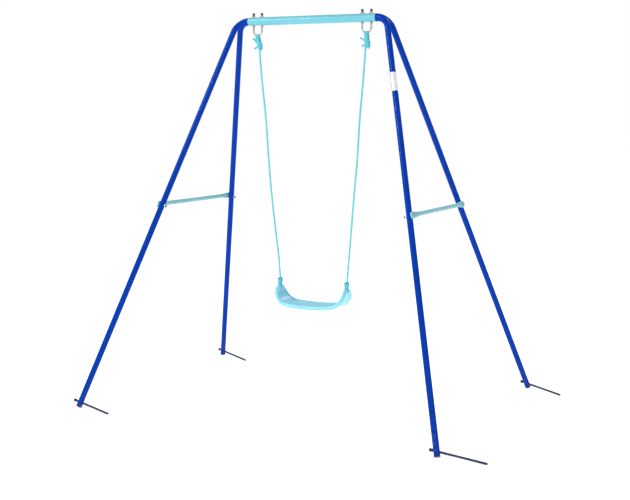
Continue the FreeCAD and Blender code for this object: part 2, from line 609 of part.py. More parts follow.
# cut ends: points measured from the middle of the upper knot
tail_points = {
    "left": [(-2, -6, 2), (-14, -9, 16), (-27, -10, 29)],
    "right": [(-5, -6, -4), (-16, -9, 8), (-27, -11, 19)],
}
stub_points = [(6, -2, -4), (-21, -9, -15)]
lower_loops = []
for side in sides:
    sign = sides[side]
    eye_x = sign * size("hanger_centre")
    knot_x = eye_x + knot_shift[side]
    # eye: over the hanger's lowest stretch and down into the knot
    wrap = size("hanger_rod / 2 + rope_clearance") + rope_radius
    half_neck = rope_radius + size("rope_clearance")
    neck_z = knot_z + size("knot_half_height / 2")
    shoulder_z = hinge_height - rope_radius
    front_leg = [Vector(knot_x, -half_neck, neck_z), Vector(eye_x, -wrap, shoulder_z),
                 Vector(eye_x, -wrap, hinge_height)]
    rear_leg = [Vector(eye_x, wrap, hinge_height), Vector(eye_x, wrap, shoulder_z),
                Vector(knot_x, half_neck, neck_z)]
    front_edges, eye_radii = rounded_route(front_leg)
    rear_edges, eye_radii = rounded_route(rear_leg)
    print(f"rope_eye_{side}: radii {[round(r) for r in eye_radii]} and {wrap:.1f} over the rod")
    over = Part.Arc(Vector(eye_x, -wrap, hinge_height), Vector(eye_x, 0, hinge_height + wrap),
                    Vector(eye_x, wrap, hinge_height)).toShape()
    feature(f"rope_eye_{side}", tube_along(front_edges + [over] + rear_edges, rope_radius))

    knot = doc.addObject("Part::Ellipsoid", f"rope_knot_{side}")
    bind(knot, "Radius1", "knot_half_height")
    bind(knot, "Radius2", "knot_half_width")
    bind(knot, "Radius3", "knot_half_width")
    knot.Placement = Placement(Vector(knot_x, 0, knot_z), Rotation())

    # the hanging run ends just above the seat's knot, and points at its middle
    seat_knot = Vector(seat_shift + sign * tip_x, 0, seat_knot_z)
    route = [Vector(x, y, knot_z - drop * rope_stretch) for x, y, drop in rope_points[side]]
    above_knot = (route[-1] - seat_knot).normalize()
    end_gap = size("seat_knot_diameter / 2 + rope_clearance")
    edges, radii = rounded_route(route + [seat_knot])
    edges[-1] = Part.LineSegment(edges[-1].Vertexes[0].Point, seat_knot + above_knot * end_gap).toShape()
    run = tube_along(edges, rope_radius)
    length = Part.Wire(edges).Length
    print(f"rope_{side}: length {length:.0f}, radii {[round(r) for r in radii]}, volume ratio",
          round(run.Volume / (math.pi * rope_radius ** 2 * length), 4))
    feature(f"rope_{side}", run)

    for name, points in (("tail", tail_points[side]), ("stub", stub_points)):
        edges, radii = rounded_route([knot.Placement.Base + Vector(*point) for point in points])
        print(f"rope_{name}_{side}: radii {[round(r) for r in radii]}")
        feature(f"rope_{name}_{side}", tube_along(edges, rope_radius))

    ball = doc.addObject("Part::Sphere", f"seat_knot_{side}")
    bind(ball, "Radius", "seat_knot_diameter / 2")
    ball.Placement = Placement(seat_knot, Rotation())

    # loop: out of the knot, down both faces of the seat's tip and through its hole
    half_loop = size("seat_web / 2 + rope_clearance") + rope_radius
    hole_z = size("seat_tip_z - seat_hole_drop")
    turn_z = hole_z + half_loop
    x = seat_knot.x
    # the knot keeps this much of each end of the loop
    kept = rope_radius / 2
    outer_edges, loop_radii = rounded_route(
        [Vector(x + kept, 0, seat_knot_z - kept), Vector(x + half_loop, 0, size("seat_tip_z")),
         Vector(x + half_loop, 0, turn_z)])
    inner_edges, loop_radii = rounded_route(
        [Vector(x - half_loop, 0, turn_z), Vector(x - half_loop, 0, size("seat_tip_z")),
         Vector(x - kept, 0, seat_knot_z - kept)])
    print(f"seat_loop_{side}: radii {[round(r) for r in loop_radii]} and {half_loop:.1f} under the web")
    under = Part.Arc(Vector(x + half_loop, 0, turn_z), Vector(x, 0, hole_z),
                     Vector(x - half_loop, 0, turn_z)).toShape()
    loop_edges = outer_edges + [under] + inner_edges
    feature(f"seat_loop_{side}", tube_along(loop_edges, rope_radius))
    groove = tube_along(loop_edges, rope_radius + size("rope_clearance"))
    lower_loops.append(feature(f"seat_groove_{side}", groove))

# ---- seat -----------------------------------------------------------------------------------------------

# band: the seat's curve seen from the front, one thickness all along
half_thick = size("seat_thickness / 2")
curl = size("seat_curl_radius")
bulge = size("seat_bulge_x")
tip_z = size("seat_tip_z") - half_thick
bottom_z = size("seat_bottom_z") + half_thick
curl_centre = Vector(bulge - curl, 0, bottom_z + curl + size("seat_curl_rise"))
lean_in = math.atan2(bulge - tip_x, tip_z - curl_centre.z)


def curl_point(angle, offset):
    """A point of the right-hand curl; angle 0 is outwards, -90 degrees straight down."""
    radius = curl + offset
    return curl_centre + Vector(radius * math.cos(angle), 0, radius * math.sin(angle))


flat_angle = math.radians(-83)


def seat_outline(offset):
    """Right half of one skin of the band, from the tip down and in to the middle."""
    tip = Vector(tip_x, 0, tip_z) + Vector(math.cos(lean_in), 0, math.sin(lean_in)) * offset
    curl_top = curl_point(lean_in, offset)
    curl_mid = curl_point((lean_in + flat_angle) / 2, offset)
    curl_end = curl_point(flat_angle, offset)
    # the middle stretch is one wide arc, tangent to the curl and level at the seat's centre
    slope = math.pi / 2 + flat_angle
    wide = curl_end.x / math.sin(slope)
    centre = Vector(0, 0, curl_end.z + wide * math.cos(slope))
    half_way = centre + Vector(wide * math.sin(slope / 2), 0, -wide * math.cos(slope / 2))
    lowest = centre + Vector(0, 0, -wide)
    return tip, curl_top, curl_mid, curl_end, half_way, lowest


def mirror(point):
    return Vector(-point.x, point.y, point.z)


def skin_edges(points):
    tip, curl_top, curl_mid, curl_end, half_way, lowest = points
    right = [Part.LineSegment(tip, curl_top), Part.Arc(curl_top, curl_mid, curl_end),
             Part.Arc(curl_end, lowest, mirror(curl_end))]
    left = [Part.Arc(mirror(curl_end), mirror(curl_mid), mirror(curl_top)),
            Part.LineSegment(mirror(curl_top), mirror(tip))]
    return [item.toShape() for item in right + left]


under_skin = seat_outline(half_thick)
upper_skin = seat_outline(-half_thick)
crown = Vector(tip_x, 0, tip_z) + Vector(-math.sin(lean_in), 0, math.cos(lean_in)) * half_thick
right_tip = Part.Arc(under_skin[0], crown, upper_skin[0]).toShape()
left_tip = Part.Arc(mirror(under_skin[0]), mirror(crown), mirror(upper_skin[0])).toShape()
outline = Part.Wire(Part.__sortEdges__(skin_edges(under_skin) + [left_tip] + skin_edges(upper_skin)
                                       + [right_tip]))
half_depth = size("seat_depth / 2")
band = Part.Face(outline).extrude(Vector(0, 2 * half_depth, 0))
band.translate(Vector(0, -half_depth, 0))

# side view: full depth along the bottom, and half an ellipse over each upturned end
shoulder = Vector(0, half_depth, bottom_z + size("seat_shoulder_rise"))
crest = Vector(0, 0, size("seat_tip_z"))
middle = Vector(0, 0, shoulder.z)
if half_depth > crest.z - middle.z:
    dome = Part.Ellipse(shoulder, crest, middle)
else:
    dome = Part.Ellipse(crest, shoulder, middle)
far_shoulder = Vector(0, -half_depth, shoulder.z)
arc = Part.ArcOfEllipse(dome, dome.parameter(shoulder), dome.parameter(far_shoulder)).toShape()
if arc.valueAt((arc.FirstParameter + arc.LastParameter) / 2).z < middle.z:
    arc = Part.ArcOfEllipse(dome, dome.parameter(far_shoulder), dome.parameter(shoulder)).toShape()
low = size("seat_bottom_z") - through / 4
corners = [shoulder, Vector(0, half_depth, low), Vector(0, -half_depth, low), far_shoulder]
sides_below = [Part.LineSegment(a, b).toShape() for a, b in zip(corners, corners[1:])]
side_view = Part.Face(Part.Wire(Part.__sortEdges__([arc] + sides_below)))
prism = side_view.extrude(Vector(4 * bulge, 0, 0))
prism.translate(Vector(-2 * bulge, 0, 0))
plain_seat = band.common(prism).removeSplitter()
seat_blank = feature("seat_blank", plain_seat, Placement(Vector(seat_shift, 0, 0), Rotation()))
grooves = fuse("seat_grooves", lower_loops)
cut("seat", seat_blank, grooves)

# ---- blank sticker on the front right leg ----------------------------------------------------------------

front_right = next(leg for leg in legs if leg.name == "front_right")
label_middle = front_right.at_height(size("label_centre_z"))
label_height = size("label_height")
start = math.radians(size("label_start_degrees"))
facing = Vector(math.cos(start), math.sin(start), 0)
sector = cylinder("label_outside", "leg_diameter / 2 + label_gap + label_thickness", "label_height",
                  frame_at(label_middle + front_right.along * (label_height / 2), facing,
                           -front_right.along))
sector.Angle = size("label_wrap_degrees")
core = cylinder("label_inside", "leg_diameter / 2 + label_gap", "label_height * 2",
                frame_at(label_middle + front_right.along * label_height, facing, -front_right.along))
cut("leg_label", sector, core)

doc.recompute()

# ---- checks and files -------------------------------------------------------------------------------------

leg_names = [leg.name for leg in legs]
nodes = ["crossbar"]
nodes += [f"{part}_{name}" for part in ("upper_leg", "lower_leg", "foot_cap", "peg", "peg_cap")
          for name in leg_names]
nodes += ["spreader_left", "spreader_right", "spreader_bolts", "spreader_nuts", "spreader_nut_caps"]
nodes += ["hanger_left", "hanger_right", "hanger_washers", "hanger_top_nuts", "hanger_under_nuts",
          "hanger_rod_caps"]
nodes += [f"{part}_{side}" for part in ("rope_eye", "rope_knot", "rope", "rope_tail", "rope_stub",
                                        "seat_knot", "seat_loop") for side in sides]
nodes += ["seat", "leg_label"]

for item in doc.Objects:
    if "Invalid" in item.State or "Error" in item.State:
        raise RuntimeError(f"{item.Label} failed: {item.State}")
os.makedirs("parts", exist_ok=True)
for name in nodes:
    item = doc.getObject(name)
    item.Label = name
    shape = item.Shape
    if shape.isNull() or not shape.isValid() or not shape.Solids:
        raise RuntimeError(f"{name} has no valid solid")
    print(f"{name}: {len(shape.Solids)} solid(s), {shape.Volume:.0f} mm3")
    shape.exportStep(f"parts/{name}.step")
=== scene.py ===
import json
import math
import bpy
import numpy as np
from mathutils import Matrix, Vector

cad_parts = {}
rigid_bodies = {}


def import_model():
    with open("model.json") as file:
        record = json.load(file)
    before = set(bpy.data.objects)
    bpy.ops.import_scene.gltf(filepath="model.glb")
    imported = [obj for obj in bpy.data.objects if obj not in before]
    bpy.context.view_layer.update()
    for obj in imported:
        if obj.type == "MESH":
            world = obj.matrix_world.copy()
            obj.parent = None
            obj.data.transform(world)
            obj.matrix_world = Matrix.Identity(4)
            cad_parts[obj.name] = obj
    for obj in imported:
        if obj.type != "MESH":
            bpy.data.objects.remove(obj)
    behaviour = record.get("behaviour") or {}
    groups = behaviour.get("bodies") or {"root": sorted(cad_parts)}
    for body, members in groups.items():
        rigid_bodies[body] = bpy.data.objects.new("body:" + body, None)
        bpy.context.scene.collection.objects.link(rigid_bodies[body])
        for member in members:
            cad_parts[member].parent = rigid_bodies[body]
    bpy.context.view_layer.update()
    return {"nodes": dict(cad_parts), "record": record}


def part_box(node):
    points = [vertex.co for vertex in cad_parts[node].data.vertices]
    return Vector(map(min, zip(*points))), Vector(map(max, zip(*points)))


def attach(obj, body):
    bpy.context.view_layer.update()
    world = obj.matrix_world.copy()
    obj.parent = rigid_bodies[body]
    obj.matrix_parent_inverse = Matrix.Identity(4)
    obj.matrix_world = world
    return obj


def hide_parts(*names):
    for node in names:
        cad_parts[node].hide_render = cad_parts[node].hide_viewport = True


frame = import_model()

nodes = frame["nodes"]
print("frame loaded:", len(nodes), "nodes")

# camera
camera = {
    "place": (2.398, -4.7455, 1.3634),
    "yaw": 0.4447,        # radians from +Y, towards -X
    "pitch": -0.1262,
    "roll": 0.002,
    "lens": 65.21,
    "shift": (-0.0359, 0.0064),
}


def makeCamera():
    lens = bpy.data.cameras.new("Camera")
    lens.lens = camera["lens"]
    lens.shift_x, lens.shift_y = camera["shift"]
    eye = bpy.data.objects.new("Camera", lens)
    bpy.context.scene.collection.objects.link(eye)
    yaw, pitch, roll = camera["yaw"], camera["pitch"], camera["roll"]
    ahead = Vector((-math.sin(yaw) * math.cos(pitch), math.cos(yaw) * math.cos(pitch), math.sin(pitch)))
    right = Vector((math.cos(yaw), math.sin(yaw), 0))
    up = right.cross(ahead)
    rolledRight = right * math.cos(roll) + up * math.sin(roll)
    rolledUp = up * math.cos(roll) - right * math.sin(roll)
    turn = Matrix((rolledRight, rolledUp, -ahead)).transposed()
    eye.matrix_world = Matrix.Translation(camera["place"]) @ turn.to_4x4()
    bpy.context.scene.camera = eye


makeCamera()


# small helpers

def pickNothing():
    if bpy.context.object and bpy.context.object.mode != "OBJECT":
        bpy.ops.object.mode_set(mode="OBJECT")
    bpy.ops.object.select_all(action="DESELECT")


def pick(piece):
    pickNothing()
    piece.select_set(True)
    bpy.context.view_layer.objects.active = piece


def newPiece(name, points, faces):
    mesh = bpy.data.meshes.new(name)
    mesh.from_pydata([tuple(p) for p in points], [], faces)
    mesh.validate()
    piece = bpy.data.objects.new(name, mesh)
    bpy.context.scene.collection.objects.link(piece)
    pick(piece)
    bpy.ops.object.shade_smooth()
    return piece


def joinPieces(name, pieces):
    pick(pieces[0])
    for piece in pieces[1:]:
        piece.select_set(True)
    bpy.ops.object.join()
    joined = bpy.context.object
    joined.name = joined.data.name = name
    pickNothing()
    return joined


# rope: three strands laid round a route
rope = {
    "diameter": 0.010,
    "strandCount": 3,
    "strandRadius": 0.00262,
    "strandOffset": 0.00235,
    "pitch": 0.036,         # one turn of the lay
    "step": 0.0022,         # between rings of a strand
    "sides": 10,
    "cutLength": 0.004,     # dark stretch at a cut end
    "cutMark": 10,          # added to the lay of a cut end, so the finish can find it
    "yarns": 6,             # fine yarns in a strand
    "yarnTwist": 42.0,      # turns of the yarns in a metre
}

ropeRoutes = {
    "left": [(-0.272, 0, 1.650), (-0.262, 0, 1.510), (-0.238, 0, 1.320), (-0.228, 0, 1.150),
             (-0.211, 0, 0.960), (-0.186, 0, 0.760), (-0.169, 0, 0.630), (-0.1665, 0, 0.5669)],
    "right": [(0.274, 0, 1.650), (0.264, 0, 1.500), (0.245, 0, 1.320), (0.236, 0, 1.140),
              (0.218, 0, 0.960), (0.204, 0, 0.780), (0.1851, 0, 0.5669)],
}


def smoothLine(points, density=24):
    # the points that a smooth spline through the route gives
    curve = bpy.data.curves.new("route", "CURVE")
    curve.dimensions = "3D"
    curve.resolution_u = density
    spline = curve.splines.new("NURBS")
    spline.points.add(len(points) - 1)
    for point, place in zip(spline.points, points):
        point.co = (*place, 1)
    spline.order_u = 3
    spline.use_endpoint_u = True
    holder = bpy.data.objects.new("route", curve)
    bpy.context.scene.collection.objects.link(holder)
    bpy.context.view_layer.update()
    mesh = bpy.data.meshes.new_from_object(holder)
    line = [vertex.co.copy() for vertex in mesh.vertices]
    bpy.data.objects.remove(holder)
    bpy.data.meshes.remove(mesh)
    bpy.data.curves.remove(curve)
    return line


def evenly(line, step):
    # the same line with points a fixed distance apart
    spots = np.array([tuple(p) for p in line])
    along = np.concatenate(([0], np.cumsum(np.linalg.norm(np.diff(spots, axis=0), axis=1))))
    count = max(4, int(round(along[-1] / step)) + 1)
    wanted = np.linspace(0, along[-1], count)
    return [Vector((np.interp(d, along, spots[:, 0]), np.interp(d, along, spots[:, 1]),
                    np.interp(d, along, spots[:, 2]))) for d in wanted], float(along[-1])


def carriedFrames(line):
    # a side vector for each point, carried along without twisting
    ahead = []
    for index in range(len(line)):
        before, after = line[max(0, index - 1)], line[min(len(line) - 1, index + 1)]
        ahead.append((after - before).normalized())
    side = ahead[0].orthogonal().normalized()
    frames = []
    for direction in ahead:
        side = (side - direction * side.dot(direction)).normalized()
        frames.append((side, direction.cross(side)))
    return frames


def layRope(name, line, lay=rope, startTurn=0.0, squeeze=1.0, cut=False):
    line, length = evenly(line, lay["step"])
    frames = carriedFrames(line)
    points, faces, uvs = [], [], []
    sides = lay["sides"]
    radius, offset = lay["strandRadius"] * squeeze, lay["strandOffset"] * squeeze
    for strand in range(lay["strandCount"]):
        first = len(points)
        phase = startTurn + 2 * math.pi * strand / lay["strandCount"]
        for index, (centre, (side, other)) in enumerate(zip(line, frames)):
            distance = length * index / (len(line) - 1)
            turn = phase + 2 * math.pi * distance / lay["pitch"]
            outward = side * math.cos(turn) + other * math.sin(turn)
            around = other * math.cos(turn) - side * math.sin(turn)
            middle = centre + outward * offset
            mark = lay["cutMark"] if cut and length - distance < lay["cutLength"] else 0
            for corner in range(sides):
                angle = 2 * math.pi * corner / sides
                points.append(middle + (outward * math.cos(angle) + around * math.sin(angle)) * radius)
                uvs.append((corner / sides + mark, distance))
        rings = len(line)
        for ring in range(rings - 1):
            for corner in range(sides):
                a = first + ring * sides + corner
                b = first + ring * sides + (corner + 1) % sides
                faces.append((a, b, b + sides, a + sides))
        faces.append(tuple(first + corner for corner in reversed(range(sides))))
        faces.append(tuple(first + (rings - 1) * sides + corner for corner in range(sides)))
    piece = newPiece(name, points, faces)
    layer = piece.data.uv_layers.new(name="lay")
    for loop in piece.data.loops:
        layer.data[loop.index].uv = uvs[loop.vertex_index]
    return piece, length


for side, route in ropeRoutes.items():
    line = smoothLine(route)
    piece, length = layRope(f"swing_rope_{side}", line)
    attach(piece, "ropes")
    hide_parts(f"rope_{side}")
    print("rope", side, "length", round(length, 4))

# the knots under the hangers, with the eye over the rod, the cut end and a small bight
topKnot = {
    "left": {"eyeX": -0.279, "bodyX": -0.270},
    "right": {"eyeX": 0.279, "bodyX": 0.282},
    "height": 1.660,
    "rodHeight": 1.698,
    "eyeRadius": 0.0094,
    "turns": 3.2,
    "turnRadius": 0.0094,
    "turnPitch": 0.0098,
    "tailEnd": {"left": (-0.2975, -0.0110, 1.6905), "right": (0.2545, -0.0120, 1.6805)},
    "stubEnd": {"left": (-0.2915, -0.0095, 1.6445), "right": (0.2605, -0.0095, 1.6445)},
    "bightReach": 0.011,
}


def eyeLine(side, shift):
    spot = topKnot[side]
    rod, radius = topKnot["rodHeight"], topKnot["eyeRadius"]
    body, eye = spot["bodyX"] + shift * 0.5, spot["eyeX"] + shift
    front = smoothLine([(body, -0.0062, 1.664), (body * 0.4 + eye * 0.6, -0.0085, 1.678),
                        (eye, -radius, 1.688), (eye, -radius, rod)])
    rear = [Vector((p.x, -p.y, p.z)) for p in reversed(front)]
    over = [Vector((eye, -radius * math.cos(a), rod + radius * math.sin(a)))
            for a in np.linspace(0.15, math.pi - 0.15, 14)]
    return front + over + rear


def wrapLine(side):
    spot = topKnot[side]
    body, middle = spot["bodyX"], topKnot["height"]
    height = topKnot["turns"] * topKnot["turnPitch"]
    line = []
    for share in np.linspace(0, 1, 90):
        turn = 2 * math.pi * topKnot["turns"] * share + 0.6
        wide = topKnot["turnRadius"] * (0.82 + 0.3 * math.sin(math.pi * share))
        lean = 0.004 * (0.5 - share)
        line.append(Vector((body + lean * -1 + wide * math.cos(turn), wide * math.sin(turn),
                            middle + height * (0.5 - share) + 0.0028 * math.cos(turn + 0.8))))
    return line


def tailLine(side):
    body, middle = topKnot[side]["bodyX"], topKnot["height"]
    end = topKnot["tailEnd"][side]
    start = (body - 0.001, -0.0075, middle + 0.003)
    bend = ((start[0] * 0.55 + end[0] * 0.45), -0.0125, start[2] * 0.6 + end[2] * 0.4 + 0.003)
    return smoothLine([start, bend, end])


def stubLine(side):
    body, middle = topKnot[side]["bodyX"], topKnot["height"]
    end = topKnot["stubEnd"][side]
    return smoothLine([(body, -0.004, middle - 0.006), ((body + end[0]) / 2, -0.010, middle - 0.009), end])


def bightLine(side):
    body, middle = topKnot[side]["bodyX"], topKnot["height"]
    reach = topKnot["bightReach"]
    return smoothLine([(body - 0.003, 0.004, middle - 0.008), (body + 0.001, -0.008, middle - 0.019),
                       (body + reach, -0.009, middle - 0.026), (body + reach + 0.003, -0.003, middle - 0.014),
                       (body + 0.006, 0.003, middle - 0.004)])


for side in ("left", "right"):
    parts = []
    for number, (kind, line) in enumerate((("eye", eyeLine(side, -0.0046)), ("eye2", eyeLine(side, 0.0046)),
                                           ("wrap", wrapLine(side)),
                                           ("tail", tailLine(side)), ("stub", stubLine(side)),
                                           ("bight", bightLine(side)))):
        parts.append(layRope(f"top_knot_{kind}_{side}", line, startTurn=number * 0.7,
                             squeeze=0.96 if kind == "wrap" else 1.0, cut=kind in ("tail", "stub"))[0])
    piece = joinPieces(f"top_knot_{side}", parts)
    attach(piece, "ropes")
    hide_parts(f"rope_knot_{side}", f"rope_eye_{side}", f"rope_tail_{side}", f"rope_stub_{side}")
print("top knots tied")

# the knots above the seat, with the loop through the seat's ear
lowKnot = {
    "x": {-1: -0.166, 1: 0.184},
    "height": 0.554,
    "turns": 2.3,
    "turnRadius": 0.0084,
    "turnPitch": 0.0094,
    "loopHalf": 0.0089,
    "loopTurn": 0.5259,     # height where the loop turns under the web
    "grooveRadius": 0.0056,
}


def loopLine(sign):
    x, half = lowKnot["x"][sign], lowKnot["loopHalf"]
    down = smoothLine([(x + 0.0025, 0, 0.5500), (x + 0.0040, 0, 0.5420), (x + half, 0, 0.5360),
                       (x + half, 0, lowKnot["loopTurn"])])
    up = [Vector((2 * x - p.x, p.y, p.z)) for p in reversed(down)]
    under = [Vector((x + half * math.cos(a), 0, lowKnot["loopTurn"] - half * math.sin(a)))
             for a in np.linspace(0.15, math.pi - 0.15, 14)]
    return down + under + up


def ballLine(sign):
    x, height = lowKnot["x"][sign], lowKnot["height"]
    rise = lowKnot["turns"] * lowKnot["turnPitch"]
    line = []
    for share in np.linspace(0, 1, 80):
        turn = 2 * math.pi * lowKnot["turns"] * share - 0.4
        wide = lowKnot["turnRadius"] * (0.85 + 0.22 * math.sin(math.pi * share))
        line.append(Vector((x + wide * math.cos(turn), wide * math.sin(turn),
                            height + rise * (0.5 - share) * 0.95 + 0.0034 * math.cos(turn))))
    return line


def crossLine(sign):
    # the last pass of the knot, slanting over the turns
    x, height = lowKnot["x"][sign], lowKnot["height"]
    return smoothLine([(x - 0.004, 0.004, height + 0.009), (x - 0.0105, -0.004, height + 0.008),
                       (x - 0.002, -0.0125, height + 0.001), (x + 0.0105, -0.005, height - 0.008),
                       (x + 0.005, 0.004, height - 0.009)])


for side, sign in (("left", -1), ("right", 1)):
    x, height = lowKnot["x"][sign], lowKnot["height"]
    neck = smoothLine([(x, -0.0035, height - 0.004), (x + 0.001, -0.0040, height - 0.014),
                       (x, 0.0, height - 0.026)])
    parts = [layRope(f"low_loop_{side}", loopLine(sign), squeeze=0.93)[0],
             layRope(f"low_neck_{side}", neck, squeeze=0.93)[0],
             layRope(f"low_turns_{side}", ballLine(sign), squeeze=0.98)[0],
             layRope(f"low_cross_{side}", crossLine(sign), squeeze=0.95)[0]]
    piece = joinPieces(f"low_knot_{side}", parts)
    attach(piece, "seat")
    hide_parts(f"seat_knot_{side}", f"seat_loop_{side}")
print("seat knots tied")

# seat: one moulded band with upturned ears and a thick rolled rim
seatMould = {
    "shift": 0.009,          # the seat hangs a little to the right of the middle
    "tipX": 0.175,
    "bulgeX": 0.1751,
    "tipZ": 0.534,
    "bottomZ": 0.435,
    "halfDepth": 0.0730,
    "halfThick": 0.0100,     # the rim
    "panelThick": 0.0055,    # half the thickness inside the rim
    "panelFrom": 0.0110,     # distances from the edge where the rim falls to the panel
    "panelTo": 0.0240,
    "curl": 0.070,
    "curlRise": 0.004,
    "flatAngle": -83.0,
    "roundness": 2.75,
    "around": 144,
}


def bandLine():
    # the band's middle line from the seat's centre to the right tip, with its inward normals
    m = seatMould
    bottom, tip = m["bottomZ"] + m["halfThick"], m["tipZ"] - m["halfThick"]
    centreX, centreZ = m["bulgeX"] - m["curl"], bottom + m["curl"] + m["curlRise"]
    lean = math.atan2(m["bulgeX"] - m["tipX"], tip - centreZ)
    flat = math.radians(m["flatAngle"])
    curlEnd = (centreX + m["curl"] * math.cos(flat), centreZ + m["curl"] * math.sin(flat))
    slope = math.pi / 2 + flat
    wide = curlEnd[0] / math.sin(slope)
    wideZ = curlEnd[1] + wide * math.cos(slope)
    spots = [(wide * math.sin(a), wideZ - wide * math.cos(a)) for a in np.linspace(0, slope, 60)]
    spots += [(centreX + m["curl"] * math.cos(a), centreZ + m["curl"] * math.sin(a))
              for a in np.linspace(flat, lean, 60)[1:]]
    spots += [(spots[-1][0] * (1 - t) + m["tipX"] * t, spots[-1][1] * (1 - t) + (tip + m["halfThick"]) * t)
              for t in np.linspace(0, 1, 30)[1:]]
    return np.array(spots)


def makeSeat():
    m = seatMould
    spots = bandLine()
    along = np.concatenate(([0], np.cumsum(np.linalg.norm(np.diff(spots, axis=0), axis=1))))
    reach = along[-1]
    tangent = np.gradient(spots, along, axis=0)
    tangent /= np.linalg.norm(tangent, axis=1)[:, None]

    def onBand(s, y, lift):
        a = min(abs(s), reach)
        x, z = np.interp(a, along, spots[:, 0]), np.interp(a, along, spots[:, 1])
        tx, tz = np.interp(a, along, tangent[:, 0]), np.interp(a, along, tangent[:, 1])
        x, z = x - tz * lift, z + tx * lift
        return ((math.copysign(x, s) if abs(s) > 1e-9 else x) + m["shift"], y, z)

    # outline of the flattened band, and its inward normals
    angles = np.linspace(0, 2 * math.pi, m["around"], endpoint=False)
    power = m["roundness"]
    scale = (np.abs(np.cos(angles)) ** power + np.abs(np.sin(angles)) ** power) ** (-1 / power)
    outline = np.stack([reach * np.cos(angles) * scale, m["halfDepth"] * np.sin(angles) * scale], 1)
    closed = np.concatenate([outline, outline[:1]])
    walked = np.concatenate(([0], np.cumsum(np.linalg.norm(np.diff(closed, axis=0), axis=1))))
    even = np.linspace(0, walked[-1], m["around"], endpoint=False)
    outline = np.stack([np.interp(even, walked, closed[:, 0]), np.interp(even, walked, closed[:, 1])], 1)
    tangents = np.roll(outline, -1, 0) - np.roll(outline, 1, 0)
    inward = np.stack([-tangents[:, 1], tangents[:, 0]], 1)
    inward /= np.linalg.norm(inward, axis=1)[:, None]

    # rings from the edge to the middle: (distance from the edge or share of the last ring, half thickness)
    rim = m["halfThick"]
    rings = []
    for turn in np.linspace(0, math.pi / 2, 7):
        rings.append((outline + inward * rim * (1 - math.cos(turn)), rim * math.sin(turn)))
    for distance in np.linspace(m["panelFrom"], m["panelTo"], 6):
        fall = (distance - m["panelFrom"]) / (m["panelTo"] - m["panelFrom"])
        fall = fall * fall * (3 - 2 * fall)
        rings.append((outline + inward * distance, rim + (m["panelThick"] - rim) * fall))
    last = rings[-1][0]
    for share in (0.9, 0.8, 0.68, 0.55, 0.42, 0.29, 0.16, 0.07):
        rings.append((last * share, m["panelThick"]))

    points, faces = [], []
    count = m["around"]
    for flat, half in rings:                       # upper skin, edge first
        points += [onBand(s, y, half) for s, y in flat]
    for flat, half in rings[1:]:                   # lower skin
        points += [onBand(s, y, -half) for s, y in flat]
    points += [onBand(0, 0, m["panelThick"]), onBand(0, 0, -m["panelThick"])]
    for skin in (0, 1):
        starts = [0] + [count * (len(rings) if skin else 1) + count * k for k in range(len(rings) - 1)]
        for a, b in zip(starts, starts[1:]):
            for k in range(count):
                n = (k + 1) % count
                quad = (a + k, a + n, b + n, b + k)
                faces.append(quad if not skin else quad[::-1])
        pole = len(points) - 2 + skin
        inner = starts[-1]
        for k in range(count):
            n = (k + 1) % count
            faces.append((inner + k, inner + n, pole) if not skin else (inner + n, inner + k, pole))
    return newPiece("moulded_seat", points, faces)


def cutLoopGroove(seat, sign):
    # the loop's hole and the grooves beside it, cut with a fat copy of the loop
    line, _ = evenly(loopLine(sign), 0.0015)
    frames = carriedFrames(line)
    points, faces, sides = [], [], 16
    for centre, (side, other) in zip(line, frames):
        points += [centre + (side * math.cos(a) + other * math.sin(a)) * lowKnot["grooveRadius"]
                   for a in np.linspace(0, 2 * math.pi, sides, endpoint=False)]
    for ring in range(len(line) - 1):
        for k in range(sides):
            a, b = ring * sides + k, ring * sides + (k + 1) % sides
            faces.append((a, b, b + sides, a + sides))
    faces.append(tuple(reversed(range(sides))))
    faces.append(tuple((len(line) - 1) * sides + k for k in range(sides)))
    tool = newPiece("groove_tool", points, faces)
    pick(seat)
    drill = seat.modifiers.new("groove", "BOOLEAN")
    drill.object = tool
    drill.solver = "EXACT"
    bpy.ops.object.modifier_apply(modifier=drill.name)
    bpy.data.objects.remove(tool)


seat = makeSeat()
for sign in (-1, 1):
    cutLoopGroove(seat, sign)
pick(seat)
bpy.ops.object.shade_smooth_by_angle(angle=math.radians(40))
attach(seat, "seat")
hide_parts("seat")
print("seat moulded:", len(seat.data.polygons), "faces")


# finishes

class Wire:
    # a socket that can be used in plain sums
    def __init__(self, shader, socket):
        self.shader, self.socket = shader, socket

    def sum(self, operation, other, turned=False):
        pair = (other, self) if turned else (self, other)
        return self.shader.add("ShaderNodeMath", {"operation": operation}, {0: pair[0], 1: pair[1]})

    def __add__(self, other):
        return self.sum("ADD", other)

    def __sub__(self, other):
        return self.sum("SUBTRACT", other)

    def __mul__(self, other):
        return self.sum("MULTIPLY", other)

    def __truediv__(self, other):
        return self.sum("DIVIDE", other)

    def __gt__(self, other):
        return self.sum("GREATER_THAN", other)

    def __rsub__(self, other):
        return self.sum("SUBTRACT", other, True)

    __radd__ = __add__
    __rmul__ = __mul__


